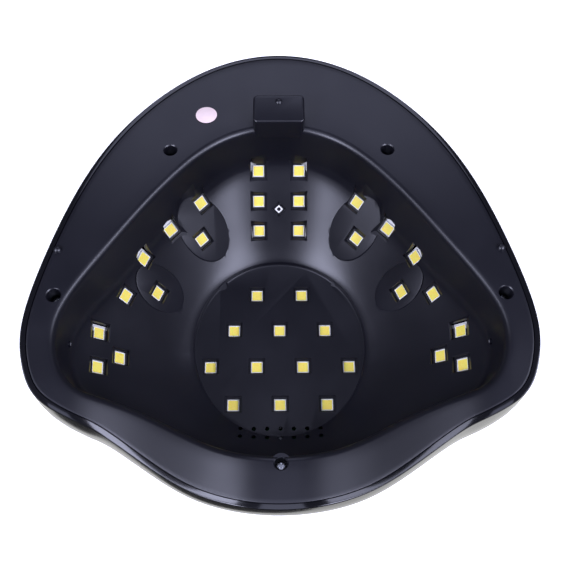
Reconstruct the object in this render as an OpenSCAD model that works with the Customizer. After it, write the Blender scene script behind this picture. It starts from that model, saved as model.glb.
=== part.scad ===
// Nail lamp with 36 light-emitting diodes, standing on the table.
// +Z is up and the hand goes in from -Y. The plan is drawn about the axis of
// the round ceiling of the hand hollow, then moved so that the origin is the
// middle of the base at table level.

/* [Overall size] */
// Half the width across the two front corners
half_w = 99.3; // [96:0.1:103]
// From the ceiling axis to the rear edge of the shell
rear_reach = 126.6; // [124:0.1:130]
// From the ceiling axis to the front edge of the shell
front_reach = 78; // [76:0.5:80]
// Height of the top of the shell above the table
top_z = 96; // [95:0.5:100]
// Height of the round ceiling of the hand hollow
ceiling_z = 68.5; // [68:0.1:69]

/* [Rim] */
// Height of the arch over the hand opening
arch_h = 42; // [38:0.5:44]
// Half the width of the arch at the table
arch_half_w = 86; // [84:0.5:88]
// Rise of the rim at the rear, which leaves room for the plug
rear_lift = 14; // [13:0.5:15]
// Where the rear rise of the rim begins
lift_start_y = -15; // [-18:1:-12]
// Radius of the rounded edge round the hollow
edge_r = 3; // [2.5:0.1:3.2]

/* [Shells] */
// Wall of the top shell
shell_t = 2.2; // [2:0.1:2.4]
// Wall of the liner
liner_t = 2.2; // [2:0.1:2.4]
// Gap between the liner and the shell all round
seam = 0.2; // [0.15:0.05:0.3]
// Where the top of the dome lies along Y
apex_y = 22; // [18:1:26]
// Fullness of the dome, 2 is an ellipse
dome_power = 2.4; // [2.3:0.1:2.6]
// How far the dome swells above its rim, as a share of its reach
dome_swell = 0.05; // [0.03:0.01:0.06]

/* [Hand hollow] */
// Half the width of the round ceiling
ceiling_rx = 40; // [39:0.5:41]
// Half the depth of the round ceiling
ceiling_ry = 42.6; // [42:0.1:43]
// Rise of the shoulder per millimetre of run, between wall and ceiling
shoulder_rise = 0.96; // [0.93:0.01:0.99]
// How much steeper the shoulder is towards the two rear quarters
side_rise = 0.3; // [0.27:0.01:0.33]
// How far the side wall leans in up to the shoulder
wall_lean = 0.8; // [0.6:0.1:1]
// How tightly the wall turns into the shoulder
turn_weight = 10; // [8:0.5:12]

/* [Light sources] */
// Side of a light-emitting package
led_w = 5.4; // [5:0.1:5.6]
// Height of a light-emitting package
led_h = 1.5; // [1.4:0.1:1.6]
// Pitch of the packages in a ceiling row
led_pitch = 21.5; // [21:0.1:21.8]
// Pitch between the ceiling rows
row_pitch = 18.1; // [17.5:0.1:18.4]
// Clear width of a window at the hand side
window_w = 7.2; // [7:0.1:7.4]
// How far the packages lie behind the face they shine through
led_recess = 1.4; // [1.3:0.1:1.6]
// Thickness of a circuit board
board_t = 1.6; // [1.5:0.1:1.7]
// Radius, seen from below, of the flat seats of the upper side groups
upper_seat_r = 11.6; // [11:0.2:12]
// Radius, seen from below, of the flat seats of the middle side groups
middle_seat_r = 9.4; // [9:0.2:10]

/* [Controls] */
// Width of the control panel
panel_w = 70; // [69:0.5:71]
// Depth of the control panel along its slope
panel_d = 36; // [35:0.5:37]
// Slope of the control panel
panel_tilt = 17; // [16:0.5:18]
// Diameter of a button cap
button_d = 9; // [8.6:0.1:9.2]
// Clearance all round a button cap
button_gap = 0.2; // [0.15:0.05:0.3]
// Distance between neighbouring buttons
button_pitch = 15; // [14.6:0.1:15.2]
// Travel of a button
button_travel = 0.5; // [0.4:0.05:0.6]
// How far a cap stands above the panel
button_proud = 0.8; // [0.7:0.1:1]

/* [Power socket] */
// Bore of the socket, for a barrel plug 5.5 mm across
socket_d = 5.8; // [5.7:0.1:5.9]
// Height of the socket's axis above the table
socket_z = 5.4; // [5.2:0.1:5.6]

/* [Case screws] */
// Diameter of the screw wells
well_d = 5.6; // [5.4:0.1:5.8]
// Depth of a well from the rim to the screw head's seat
well_depth = 9; // [8:0.5:10]

/* [Hidden] */

$fa = 5;
$fs = 0.4;

// The lamp's bounding box runs from front_y to the rear edge, so this shift
// puts its middle at the origin
base_mid_y = 24.3;

// Plan of the shell's edge, from the rear middle to the front middle, as
// shares of half_w and of the rear or front reach
EDGE_SHARES = [[0, 1], [0.342, 0.918], [0.629, 0.707], [0.821, 0.442], [0.941, 0.145],
    [1, -0.154], [0.981, -0.385], [0.911, -0.551], [0.775, -0.651],
    [0.673, -0.708], [0.498, -0.846], [0.292, -0.959], [0, -1]];
// Plan of the hollow's edge at the same stations, in the same shares
HOLLOW_SHARES = [[0, 0.637], [0.252, 0.581], [0.438, 0.442], [0.569, 0.304], [0.71, 0.137],
    [0.846, -0.077], [0.862, -0.308], [0.801, -0.46], [0.715, -0.513],
    [0.599, -0.546], [0.428, -0.619], [0.242, -0.695], [0, -0.718]];

// Steps per station, and rings up the dome, up the hollow and up the back of its wall
PLAN_STEPS = 3;
DOME_RINGS = 9;
HOLLOW_RINGS = 8;
BACK_RINGS = 5;

PLASTIC = "#1d1d22";
GLOSS = "#0b0b0d";
SMOKED = "#1a1216";
BOARD_GREEN = "#1f5c38";
BOARD_WHITE = "#e9e9e4";
PACKAGE = "#f3e9a8";
STEEL = "#b9bcc0";
CAP_GREY = "#d9dade";
COPPER = "#b5652a";
SEAL_PINK = "#ecd9d6";

ceiling_mid_y = 0.4;
// Direction in which the shoulder is steepest, from +X towards the rear
STEEPEST = 32;
led_face_z = ceiling_z + led_recess;
ceiling_board_z = led_face_z + led_h;
ceiling_board_r = 37.5;

// Curve through the stations, both halves, clockwise seen from above
function reach_of(q) = [q.x * half_w, q.y * (q.y > 0 ? rear_reach : front_reach)];
function half_points(shares) = [for (q = shares) reach_of(q)];
function mirrored(q) = [-q.x, q.y];
function station(pts, i) =
    i < 0 ? mirrored(pts[-i])
    : i >= len(pts) ? mirrored(pts[2 * len(pts) - 2 - i])
    : pts[i];
function curve(a, b, c, d, t) =
    0.5 * (2 * b + (c - a) * t + (2 * a - 5 * b + 4 * c - d) * t * t
    + (3 * b - a - 3 * c + d) * t * t * t);
function half_curve(pts) = [for (i = [0 : len(pts) - 2], k = [0 : PLAN_STEPS - 1])
    curve(station(pts, i - 1), pts[i], pts[i + 1], station(pts, i + 2), k / PLAN_STEPS)];
function whole_loop(shares) =
    let (pts = half_points(shares), h = half_curve(pts), n = len(h))
    concat(h, [pts[len(pts) - 1]], [for (i = [n - 1 : -1 : 1]) mirrored(h[i])]);

// Loop moved along its outward normals, inwards when d is negative
function moved_out(loop, d) =
    let (n = len(loop))
    [for (i = [0 : n - 1])
        let (t = loop[(i + 1) % n] - loop[(i + n - 1) % n])
        loop[i] + d * [-t.y, t.x] / norm(t)];

SHELL_LOOP = whole_loop(EDGE_SHARES);
HOLLOW_LOOP = whole_loop(HOLLOW_SHARES);
LOOP_N = len(SHELL_LOOP);

// Height of the rim's underside, an arch at the front and a rise at the rear
function rim_z(q) =
    q.y < -25
    ? arch_h * pow(cos(90 * min(1, abs(q.x) / arch_half_w)), 1.6)
    : rear_lift * pow(max(0, q.y - lift_start_y) / (rear_reach + 13.4), 1.5);
function on_rim(q, up = 0) = [q.x, q.y, rim_z(q) + up];

// Point of the ceiling's edge that lies in the direction of a hollow edge point
function ceiling_point(q, grow = 0) =
    let (v = q - [0, ceiling_mid_y], rx = ceiling_rx + grow, ry = ceiling_ry + grow)
    [0, ceiling_mid_y] + v / norm([v.x / rx, v.y / ry]);

// Height line of the hollow between its edge e and the ceiling: a wall that
// leans in a little, a rounded turn, and a sloping shoulder
function steepness(v) =
    shoulder_rise + side_rise * pow(max(0, cos(1.7 * (atan2(v.y, abs(v.x)) - STEEPEST))), 2);
function wall_corner(e, d, z_top) =
    let (run = norm(e - d) - wall_lean)
    [each d + (e - d) * run / norm(e - d), z_top - run * steepness(e - d)];
function turn(a, k, b, t) =
    ((1 - t) * (1 - t) * a + 2 * t * (1 - t) * turn_weight * k + t * t * b)
    / ((1 - t) * (1 - t) + 2 * t * (1 - t) * turn_weight + t * t);
function hollow_point(e, t, grow = 0) =
    let (d = ceiling_point(e, grow * 0.4), z_top = ceiling_z + grow)
    turn(on_rim(e, edge_r), wall_corner(e, d, z_top), [d.x, d.y, z_top], t);

// Closed body from rings that run clockwise seen from above, with a middle
// point below the first ring and one above the last
module lofted(rings, low, high) {
    n = len(rings[0]);
    m = len(rings);
    points = [low, each [for (r = rings) each r], high];
    top = len(points) - 1;
    function at(j, i) = 1 + j * n + i % n;
    polyhedron(points, concat(
        [for (i = [0 : n - 1]) [0, at(0, i + 1), at(0, i)]],
        [for (j = [0 : m - 2], i = [0 : n - 1]) each i < n / 2
            ? [[at(j, i), at(j, i + 1), at(j + 1, i + 1)], [at(j, i), at(j + 1, i + 1), at(j + 1, i)]]
            : [[at(j, i), at(j, i + 1), at(j + 1, i)], [at(j, i + 1), at(j + 1, i + 1), at(j + 1, i)]]],
        [for (i = [0 : n - 1]) [top, at(m - 1, i), at(m - 1, i + 1)]]));
}

// Everything is drawn about the ceiling axis and moved by this to the base's middle
module lamp_frame() {
    translate([0, -base_mid_y, 0]) children();
}

module both_sides() {
    children();
    mirror([1, 0, 0]) children();
}

// Ring of a dome that stands on a loop, at share t of the way to its top. The
// top lies the given drop below the shell's, the foot the given drop below the rim.
function dome_ring(loop, t, top_drop, foot_drop) = [for (q = loop)
    let (c = pow(cos(90 * t), 2 / dome_power) * (1 + dome_swell * sin(180 * t)),
        p = [0, apex_y] + c * (q - [0, apex_y]),
        z0 = rim_z(q) - foot_drop)
    [p.x, p.y, z0 + (top_z - top_drop - z0) * pow(sin(90 * t), 2 / dome_power)]];

module dome_outside() {
    under = moved_out(SHELL_LOOP, -6);
    lofted(concat([[for (q = under) on_rim(q)]],
        [for (j = [0 : DOME_RINGS - 1]) dome_ring(SHELL_LOOP, j / DOME_RINGS, 0, 0)]),
        [0, apex_y, 30], [0, apex_y, top_z]);
}

module dome_inside() {
    loop = moved_out(SHELL_LOOP, -shell_t);
    lofted(concat([[for (q = loop) [q.x, q.y, -20]]],
        [for (j = [0 : DOME_RINGS - 1]) dome_ring(loop, j / DOME_RINGS, shell_t, 3)]),
        [0, apex_y, -20], [0, apex_y, top_z - shell_t]);
}

// Control panel's own frame: origin at the middle of its face, +Z out of it
panel_y = -38;
panel_z = 85.4;
PANEL_R = 12;
PANEL_T = 2;
LEDGE_IN = 4;
LEDGE_T = 3;
module panel_frame() {
    translate([0, panel_y, panel_z]) rotate([panel_tilt, 0, 0]) children();
}

module rounded_plate(w, d, r, low, high) {
    translate([0, 0, low]) linear_extrude(high - low) {
        square([w - 2 * r, d], center = true);
        square([w, d - 2 * r], center = true);
        for (x = [-1, 1], y = [-1, 1])
            translate([x * (w / 2 - r), y * (d / 2 - r)]) circle(r, $fn = r < 4 ? 16 : 48);
    }
}

// Case screws, as plan points about the ceiling axis
CASE_SCREWS = [[-47, 68.6], [47, 68.6], [-88.4, -1.8], [88.4, -1.8], [0, -59.2]];
WELL_WALL = 1.5;
WELL_FLOOR = 2.4;
BOSS_R = 3.2;
PILOT_R = 1.45;
BOSS_GAP = 0.15;
// The front screw's boss stands higher, clear of the shoulder behind it
FRONT_RISE = 6.2;
function boss_top(q) = rim_z(q) + well_depth + WELL_FLOOR + (q.y < -50 ? FRONT_RISE : 0);

module shell_boss(q) {
    seat = boss_top(q) + BOSS_GAP;
    towards = (q - [0, apex_y]) / norm(q - [0, apex_y]);
    across = [-towards.y, towards.x];
    difference() {
        translate([q.x, q.y, seat]) cylinder(r = BOSS_R, h = top_z - seat, $fn = 16);
        translate([q.x, q.y, seat - 1]) cylinder(r = PILOT_R, h = 15, $fn = 16);
    }
    for (side = [1, -1])
        hull() {
            for (far = [BOSS_R - 0.6, 12])
                translate([q.x + side * far * across.x, q.y + side * far * across.y,
                    seat + 14 + far])
                    cylinder(r = 0.7, h = top_z - seat - 14 - far, $fn = 8);
        }
}

module top_shell() {
    color(GLOSS) lamp_frame() difference() {
        union() {
            difference() {
                dome_outside();
                dome_inside();
            }
            intersection() {
                dome_outside();
                union() {
                    for (q = CASE_SCREWS) shell_boss(q);
                    panel_frame() rounded_plate(panel_w + 14, panel_d + 14, PANEL_R + 6,
                        -PANEL_T - LEDGE_T, 8);
                }
            }
        }
        panel_frame() {
            rounded_plate(160, 120, 50, 0, 20);
            rounded_plate(panel_w + 2 * seam, panel_d + 2 * seam, PANEL_R + seam, -PANEL_T - 0.05, 1);
            rounded_plate(panel_w - 2 * LEDGE_IN, panel_d - 2 * LEDGE_IN, PANEL_R - LEDGE_IN,
                -20, 1);
        }
    }
}

// The hollow as a solid: prism below, rounded edge, wall, shoulder, ceiling
module hollow_volume() {
    wide = moved_out(HOLLOW_LOOP, edge_r);
    edge_rings = [for (a = [45, 90]) [for (i = [0 : LOOP_N - 1])
        let (q = HOLLOW_LOOP[i] + (wide[i] - HOLLOW_LOOP[i]) * (1 - sin(a)))
        on_rim(q, edge_r * (1 - cos(a)))]];
    lofted(concat([[for (q = wide) [q.x, q.y, -20]], [for (q = wide) on_rim(q)]], edge_rings,
        [for (j = [1 : HOLLOW_RINGS]) [for (q = HOLLOW_LOOP) hollow_point(q, j / HOLLOW_RINGS)]]),
        [0, ceiling_mid_y, -20], [0, ceiling_mid_y, ceiling_z]);
}

// The liner before it is hollowed: rim flange, and the outside of the hollow's wall
module liner_body() {
    rim = moved_out(SHELL_LOOP, -shell_t - seam);
    outer = moved_out(HOLLOW_LOOP, liner_t);
    wide = moved_out(HOLLOW_LOOP, edge_r);
    between = (rim + wide) / 2;
    lofted(concat([[for (q = wide) on_rim(q)], [for (q = between) on_rim(q)], [for (q = rim) on_rim(q)],
        [for (q = rim) on_rim(q, liner_t)], [for (q = between) on_rim(q, liner_t)],
        [for (q = outer) on_rim(q, liner_t)]],
        [for (j = [0 : BACK_RINGS]) [for (i = [0 : LOOP_N - 1])
            hollow_point(outer[i], j / BACK_RINGS, liner_t)]]),
        [0, ceiling_mid_y, 30], [0, ceiling_mid_y, ceiling_z + liner_t]);
}

// Groups of packages, for the lamp's left side (+X): middle of the seat, slope,
// direction, and how far the packages lie behind the seat
UPPER = [[35.2, 50.3, 45], 49.9, 44.5, led_recess];
MIDDLE = [[53.9, 20.6, 46.3], 51.2, 23.6, led_recess];
LOWER = [[73.6, -13.6, 34.1], 45.4, -2.3, led_recess];
BACK = [[0, 65.6, 46], 44.1, 90, led_recess];
// Package places in a group's own plane
UPPER_TRIO = [[6.6, -10.1], [-12.7, -9.8], [-2.9, 4.3]];
MIDDLE_TRIO = [[6.9, -14.2], [-12, -13], [-1.7, 1.1]];
LOWER_TRIO = [[8.5, -2.5], [-6.7, -2.5], [-0.4, 8.4]];
BACK_SIX = [for (y = [-14.3, 0.4, 15.1], x = [-9.6, 9.6]) [x, y]];
// Boards behind the groups, as low and high corner, and their screw posts
UPPER_BOARD = [[-16.5, -14], [10, 7.5]];
MIDDLE_BOARD = [[-15.5, -18], [10.5, 4.5]];
LOWER_BOARD = [[-10.5, -6.5], [12.3, 12]];
BACK_BOARD = [[-15, -18.5], [15, 19]];
UPPER_POSTS = [[5.5, 3], [-11.5, 3]];
MIDDLE_POSTS = [[6.5, -1], [-10.5, -1]];
LOWER_POSTS = [[7.5, 6.5], [-7.5, 6.5]];
BACK_POSTS = [[0, -14.3], [0, 15.1]];
// Sensor in the back group, and its diamond window
SENSOR = [0, 4.2, 0];
sensor_w = 4.4;

// Group frame: +X along the wall, +Y up the slope towards the ceiling, +Z away
// from the hand, with its origin in the seat
module group_frame(g) {
    translate(g[0]) rotate([0, 0, g[2] - 90]) rotate([-g[1], 0, 0]) mirror([0, 1, 0])
        mirror([1, 0, 0]) children();
}

// Straight up, seen in a group's own frame
function up_in(g) = [0, sin(g[1]), cos(g[1])];

// A window opens both straight down, as the mould opens, and square to its board
module window(g, wide, turned = 0) {
    hull() {
        translate([0, 0, g[3] + led_h + 0.5]) plate(wide - 0.5, turned);
        translate([0, 0, -5]) plate(wide, turned);
        translate([0, 0, g[3]] - 8 * up_in(g)) plate(wide, turned);
    }
}

module plate(w, turned = 0) {
    rotate([0, 0, turned]) cube([w, w, 0.02], center = true);
}

// Windows of a group, and the flat behind the wall where its board lies
module group_cuts(g, places, board) {
    group_frame(g) {
        for (q = places) translate([q.x, q.y, 0]) window(g, window_w);
        translate([board[0].x - 0.4, board[0].y - 0.4, g[3] + led_h - 0.05])
            cube([each board[1] - board[0] + [0.8, 0.8], 4]);
    }
}

module side_pilots(g, posts) {
    group_frame(g) for (q = posts) translate([q.x, q.y, g[3] + led_h - PILOT_DEPTH])
        cylinder(r = 0.7, h = PILOT_DEPTH + 2, $fn = 8);
}
PILOT_DEPTH = 1.6;

// Flat seat, round as seen from below
SEAT_PROUD = 0.4;
module seat(g, r) {
    intersection() {
        translate([g[0].x, g[0].y, g[0].z - 25]) cylinder(r = r, h = 50, $fn = 36);
        group_frame(g) translate([-30, -30, -SEAT_PROUD]) cube([60, 60, liner_t]);
    }
}

module ceiling_rows() {
    for (row = [0 : 3], i = [0 : [1, 2, 3, 2][row]])
        translate([(i - [1, 2, 3, 2][row] / 2) * led_pitch, (1.5 - row) * row_pitch, 0])
            children();
}

// Rear block with the power socket; it also carries the rear foot
BLOCK_W = 22.4;
BLOCK_Y = [79.3, 93.6];
BLOCK_Z = 0.9;
BLOCK_TOP = 13;
block_mid = (BLOCK_Y[0] + BLOCK_Y[1]) / 2;
block_d = BLOCK_Y[1] - BLOCK_Y[0];
module rear_block() {
    hull() for (inset = [0, 1])
        translate([0, block_mid, BLOCK_Z + 1 - inset])
            rounded_plate(BLOCK_W - 1.2 * inset, block_d - 1.2 * inset, 2, 0, BLOCK_TOP - 2);
}

// Small feet: two under the side rims and one under the rear block
SIDE_FOOT = [89.2, 18.3];
BLOCK_FOOT = [0, 90];
module feet() {
    both_sides() translate([SIDE_FOOT.x, SIDE_FOOT.y, 1.8]) sphere(1.8, $fn = 12);
    translate([BLOCK_FOOT.x, BLOCK_FOOT.y, 1.8]) sphere(1.8, $fn = 12);
}

// Posts for the boards, drawn long and trimmed by the hollow
DRIVER_POSTS = [[-27, 31.5], [27, 31.5], [-20.5, 56.5], [20.5, 56.5]];
CEILING_POSTS = [for (a = [30, 150, 270]) 32.5 * [cos(a), sin(a)] + [0, a == 270 ? -2.2 : 3]];
POST_R = 2.8;
driver_z = 79;
SCREW_R = 1.1;

module board_posts() {
    for (q = DRIVER_POSTS) translate([q.x, q.y, 36]) cylinder(r = POST_R, h = driver_z - 36, $fn = 12);
    for (q = CEILING_POSTS) translate([q.x, q.y, ceiling_z - 3])
        cylinder(r = 2.4, h = ceiling_board_z - ceiling_z + 3, $fn = 12);
    module side_posts(g, places) {
        group_frame(g) for (q = places) translate([q.x, q.y, -1])
            cylinder(r = 2, h = g[3] + led_h + 1, $fn = 8);
    }
    both_sides() {
        side_posts(UPPER, UPPER_POSTS);
        side_posts(MIDDLE, MIDDLE_POSTS);
        side_posts(LOWER, LOWER_POSTS);
    }
    side_posts(BACK, BACK_POSTS);
}

// Light beam across the hollow, through the two side walls
BEAM = [84.4, -15.5, 18.9];
BEAM_R = 1.5;

VENT_COUNT = 7;
VENT_PITCH = 6;
VENT_R = 1;
VENT_ROWS = [-38.6, -42.9];

module liner() {
    color(PLASTIC) lamp_frame() difference() {
        union() {
            difference() {
                union() {
                    liner_body();
                    board_posts();
                    for (q = CASE_SCREWS) translate([q.x, q.y, rim_z(q) + 0.5])
                        cylinder(r = well_d / 2 + WELL_WALL, h = boss_top(q) - rim_z(q) - 0.5, $fn = 16);
                }
                hollow_volume();
            }
            both_sides() {
                seat(UPPER, upper_seat_r);
                seat(MIDDLE, middle_seat_r);
            }
            rear_block();
            feet();
        }
        both_sides() {
            group_cuts(UPPER, UPPER_TRIO, UPPER_BOARD);
            group_cuts(MIDDLE, MIDDLE_TRIO, MIDDLE_BOARD);
            group_cuts(LOWER, LOWER_TRIO, LOWER_BOARD);
        }
        group_cuts(BACK, BACK_SIX, BACK_BOARD);
        both_sides() {
            side_pilots(UPPER, UPPER_POSTS);
            side_pilots(MIDDLE, MIDDLE_POSTS);
            side_pilots(LOWER, LOWER_POSTS);
        }
        side_pilots(BACK, BACK_POSTS);
        group_frame(BACK) translate(SENSOR) window(BACK, sensor_w, 45);
        ceiling_rows() hull() {
            translate([0, 0, ceiling_z - 1]) plate(window_w + 0.2);
            translate([0, 0, ceiling_z + liner_t + 1]) plate(window_w - 0.5);
        }
        both_sides() translate(BEAM + [-8, 0, 0]) rotate([0, 90, 0])
            cylinder(r = BEAM_R - 0.2, h = 20, $fn = 12);
        for (y = VENT_ROWS, i = [0 : VENT_COUNT - 1])
            translate([(i - (VENT_COUNT - 1) / 2) * VENT_PITCH, y, ceiling_z - 20])
                cylinder(r = VENT_R, h = 30, $fn = 10);
        for (q = CASE_SCREWS) translate([q.x, q.y, rim_z(q) - 4]) {
            cylinder(r = well_d / 2, h = well_depth + 4, $fn = 24);
            cylinder(r = 1.65, h = boss_top(q) - rim_z(q) + 6, $fn = 12);
        }
        for (q = DRIVER_POSTS) translate([q.x, q.y, driver_z - 10]) cylinder(r = SCREW_R, h = 12, $fn = 8);
        for (q = CEILING_POSTS) translate([q.x, q.y, ceiling_z + 1]) cylinder(r = 0.8, h = 8, $fn = 8);
        socket_room();
    }
}

// Room for the socket inside the rear block, open to the inside of the case
SOCKET_BODY = [9, 8.1, 8.4];
socket_back_y = 83.3;
module socket_room() {
    translate([-5, 83.1, 1.9]) cube([10, 8.5, 18]);
    translate([0, 90, socket_z]) rotate([-90, 0, 0]) cylinder(r = 3.9, h = 8, $fn = 32);
}

module dc_socket() {
    color(GLOSS) lamp_frame() difference() {
        union() {
            translate([-SOCKET_BODY.x / 2, socket_back_y, 2])
                cube(SOCKET_BODY);
            translate([0, socket_back_y + 7, socket_z]) rotate([-90, 0, 0])
                cylinder(r = 3.75, h = BLOCK_Y[1] - socket_back_y - 7.2, $fn = 48);
        }
        translate([0, socket_back_y + 1.2, socket_z]) rotate([-90, 0, 0])
            cylinder(d = socket_d, h = 20, $fn = 48);
        translate([-10, 80, -1]) cube([20, 20, 2.6]);
    }
}

module dc_socket_pin() {
    color(STEEL) lamp_frame() translate([0, socket_back_y + 0.4, socket_z]) rotate([-90, 0, 0]) {
        cylinder(d = 2.1, h = 8, $fn = 24);
        translate([0, 0, -0.5]) cylinder(d = 1.2, h = 0.6, $fn = 16);
    }
}

// Packages of one group, each with the slightly sunken face that glows
module package() {
    difference() {
        translate([0, 0, led_h / 2]) cube([led_w, led_w, led_h], center = true);
        translate([0, 0, -0.01]) cube([led_w - 1, led_w - 1, 0.24], center = true);
    }
}

module group_leds(g, places) {
    color(PACKAGE) group_frame(g) for (q = places)
        translate([q.x, q.y, g[3]]) package();
}

module group_board(g, board, posts) {
    color(BOARD_WHITE) group_frame(g) translate([0, 0, g[3] + led_h + 0.02]) difference() {
        translate([board[0].x, board[0].y, 0]) cube([each board[1] - board[0], board_t]);
        for (q = posts) translate([q.x, q.y, -1]) cylinder(r = SCREW_R, h = 4, $fn = 20);
    }
}

module upper_board() { group_board(UPPER, UPPER_BOARD, UPPER_POSTS); }
module middle_board() { group_board(MIDDLE, MIDDLE_BOARD, MIDDLE_POSTS); }
module lower_board() { group_board(LOWER, LOWER_BOARD, LOWER_POSTS); }

module upper_left_board() { lamp_frame() upper_board(); }
module upper_right_board() { lamp_frame() mirror([1, 0, 0]) upper_board(); }
module middle_left_board() { lamp_frame() middle_board(); }
module middle_right_board() { lamp_frame() mirror([1, 0, 0]) middle_board(); }
module lower_left_board() { lamp_frame() lower_board(); }
module lower_right_board() { lamp_frame() mirror([1, 0, 0]) lower_board(); }
module upper_left_leds() { lamp_frame() group_leds(UPPER, UPPER_TRIO); }
module upper_right_leds() { lamp_frame() mirror([1, 0, 0]) group_leds(UPPER, UPPER_TRIO); }
module middle_left_leds() { lamp_frame() group_leds(MIDDLE, MIDDLE_TRIO); }
module middle_right_leds() { lamp_frame() mirror([1, 0, 0]) group_leds(MIDDLE, MIDDLE_TRIO); }
module lower_left_leds() { lamp_frame() group_leds(LOWER, LOWER_TRIO); }
module lower_right_leds() { lamp_frame() mirror([1, 0, 0]) group_leds(LOWER, LOWER_TRIO); }
module back_leds() { lamp_frame() group_leds(BACK, BACK_SIX); }

module back_board() { lamp_frame() group_board(BACK, BACK_BOARD, BACK_POSTS); }

// Flat-head screws, drawn with the head's top at the origin and the shank downwards
module small_screw(head_r, shank_r, length) {
    difference() {
        union() {
            translate([0, 0, -1.2]) cylinder(r = head_r, h = 1.2, $fn = 28);
            translate([0, 0, -length]) cylinder(r = shank_r, h = length, $fn = 20);
        }
        for (a = [0, 90]) rotate([0, 0, a]) cube([head_r * 1.3, 0.5, 1.2], center = true);
    }
}

module side_board_screws() {
    color(STEEL) lamp_frame() {
        both_sides() {
            group_screws(UPPER, UPPER_POSTS);
            group_screws(MIDDLE, MIDDLE_POSTS);
            group_screws(LOWER, LOWER_POSTS);
        }
        group_screws(BACK, BACK_POSTS);
    }
}

module group_screws(g, posts) {
    group_frame(g) for (q = posts)
        translate([q.x, q.y, g[3] + led_h + board_t + 1.25]) small_screw(1.9, 0.65, 4.35);
}

module ceiling_board() {
    color(BOARD_WHITE) lamp_frame() translate([0, 0, ceiling_board_z + 0.02]) difference() {
        cylinder(r = ceiling_board_r, h = board_t, $fn = 96);
        for (q = CEILING_POSTS) translate([q.x, q.y, -1]) cylinder(r = SCREW_R, h = 4, $fn = 20);
    }
}

module ceiling_leds() {
    color(PACKAGE) lamp_frame() ceiling_rows() translate([0, 0, led_face_z]) package();
}

module ceiling_board_screws() {
    color(STEEL) lamp_frame() for (q = CEILING_POSTS)
        translate([q.x, q.y, ceiling_board_z + board_t + 1.25]) small_screw(1.9, 0.65, 4.4);
}

// Receiver that looks through the diamond window
module hand_sensor() {
    color("#e8e8e6") lamp_frame() group_frame(BACK)
        translate(SENSOR + [0, 0, BACK[3] + led_h - 1.1]) difference() {
            rotate([0, 0, 45]) translate([0, 0, 0.55]) cube([3, 3, 1.1], center = true);
            translate([0, 0, -0.1]) cylinder(r = 0.9, h = 0.5, $fn = 24);
        }
}

module beam_part(side) {
    lamp_frame() translate([side * (BEAM.x + 3.6), BEAM.y, BEAM.z]) rotate([0, side * 90, 0]) {
        cylinder(r = 1.5, h = 3.2, $fn = 32);
        sphere(1.5, $fn = 32);
        translate([0, 0, 3.1]) cylinder(r = 1.9, h = 0.9, $fn = 32);
        for (y = [-0.9, 0.9]) translate([0, y, 3.9]) cylinder(r = 0.25, h = 3, $fn = 16);
    }
}

module beam_emitter() { color("#c9d2e6") beam_part(1); }
module beam_receiver() { color("#2a2a30") beam_part(-1); }

// Driver board and the parts on it
DRIVER = [60, 36];
driver_mid_y = 44.8;
module driver_board() {
    color(BOARD_GREEN) lamp_frame() translate([0, driver_mid_y, driver_z + 0.02]) difference() {
        translate([-DRIVER.x / 2, -DRIVER.y / 2, 0]) cube([DRIVER.x, DRIVER.y, board_t]);
        for (q = DRIVER_POSTS) translate([q.x, q.y - driver_mid_y, -1])
            cylinder(r = SCREW_R + 0.2, h = 4, $fn = 20);
    }
}

module driver_board_screws() {
    color(STEEL) lamp_frame() for (q = DRIVER_POSTS)
        translate([q.x, q.y, driver_z + board_t + 1.25]) small_screw(2.2, 1, 7);
}

driver_top = driver_z + board_t + 0.04;
module driver_capacitors() {
    color("#20242c") lamp_frame() for (x = [-15, -5.5])
        translate([x, driver_mid_y - 12, driver_top + 4]) rotate([-90, 0, 0])
            cylinder(r = 4, h = 12, $fn = 40);
}

module driver_inductor() {
    color(COPPER) lamp_frame() translate([9, driver_mid_y - 6, driver_top]) {
        cylinder(r = 5.5, h = 1, $fn = 48);
        cylinder(r = 4, h = 6, $fn = 48);
        translate([0, 0, 5.6]) cylinder(r = 5.5, h = 1, $fn = 48);
    }
}

module driver_transistors() {
    color("#26262a") lamp_frame() for (i = [0 : 2])
        translate([-14 + i * 11, driver_mid_y + 10, driver_top]) {
            translate([-3.3, -3, 0.1]) cube([6.6, 6, 2.2]);
            for (x = [-2.3, 2.3]) translate([x - 0.4, -5.4, 0.1]) cube([0.8, 2.6, 0.5]);
        }
}

// Control panel, its window, buttons, switches and board
BUTTON_Y = -8;
BUTTONS_X = [for (i = [-1.5 : 1 : 1.5]) i * button_pitch];
WINDOW_Y = 7.5;
WINDOW = [28, 13];
CONTROL_Z = -7.5;
PANEL_POSTS = [[-27.2, 8.5], [27.2, 8.5], [0, BUTTON_Y]];

module control_panel() {
    color(GLOSS) lamp_frame() panel_frame() {
        difference() {
            rounded_plate(panel_w, panel_d, PANEL_R, -PANEL_T, 0);
            for (x = BUTTONS_X) translate([x, BUTTON_Y, -3])
                cylinder(r = button_d / 2 + button_gap, h = 4, $fn = 48);
            translate([0, WINDOW_Y, -1.4]) rounded_plate(WINDOW.x + 0.2, WINDOW.y + 0.2, 2.1, 0, 3);
            translate([0, WINDOW_Y, -4]) rounded_plate(WINDOW.x - 3, WINDOW.y - 3, 1, 0, 5);
        }
        for (q = PANEL_POSTS) difference() {
            translate([q.x, q.y, CONTROL_Z + 0.02]) cylinder(r = 1.9, h = -CONTROL_Z - PANEL_T + 0.4, $fn = 24);
            translate([q.x, q.y, CONTROL_Z - 1]) cylinder(r = 0.75, h = 5, $fn = 16);
        }
    }
}

module display_window() {
    color(SMOKED) lamp_frame() panel_frame() translate([0, WINDOW_Y, 0])
        rounded_plate(WINDOW.x, WINDOW.y, 2, -1.38, -0.05);
}

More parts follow.
